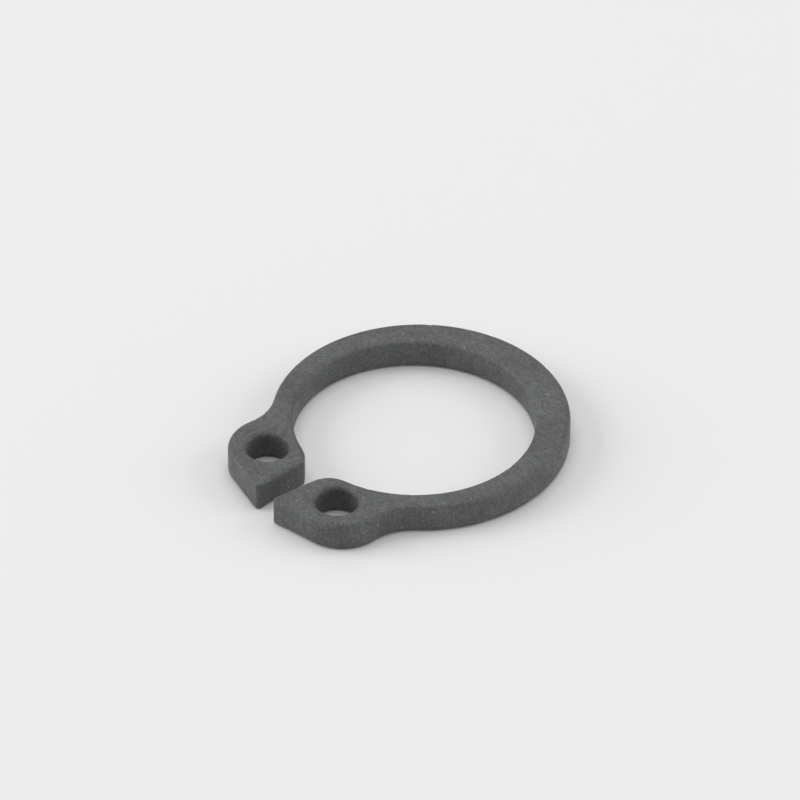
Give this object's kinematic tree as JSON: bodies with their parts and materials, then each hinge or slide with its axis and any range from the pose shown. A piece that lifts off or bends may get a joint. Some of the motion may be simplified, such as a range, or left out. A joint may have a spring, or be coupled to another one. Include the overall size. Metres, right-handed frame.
{
  "type": "external circlip",
  "caption": "External retaining ring: an open, eccentric spring steel ring with a lug and a plier hole each side of its gap, sprung into a shaft's groove to hold a part in place.",
  "frame": {"origin": "on the shaft's axis, at half the ring's thickness", "axes": "+Z along the shaft's axis, square to the flat faces; -Y towards the gap; +X to the lug that is on the right when the gap faces the viewer"},
  "size_m": [0.0116, 0.0134, 0.0012],
  "materials": {
    "phosphated_steel": "matte"
  },
  "bodies": {
    "root": {"circlip": "phosphated_steel"}
  },
  "joints": []
}
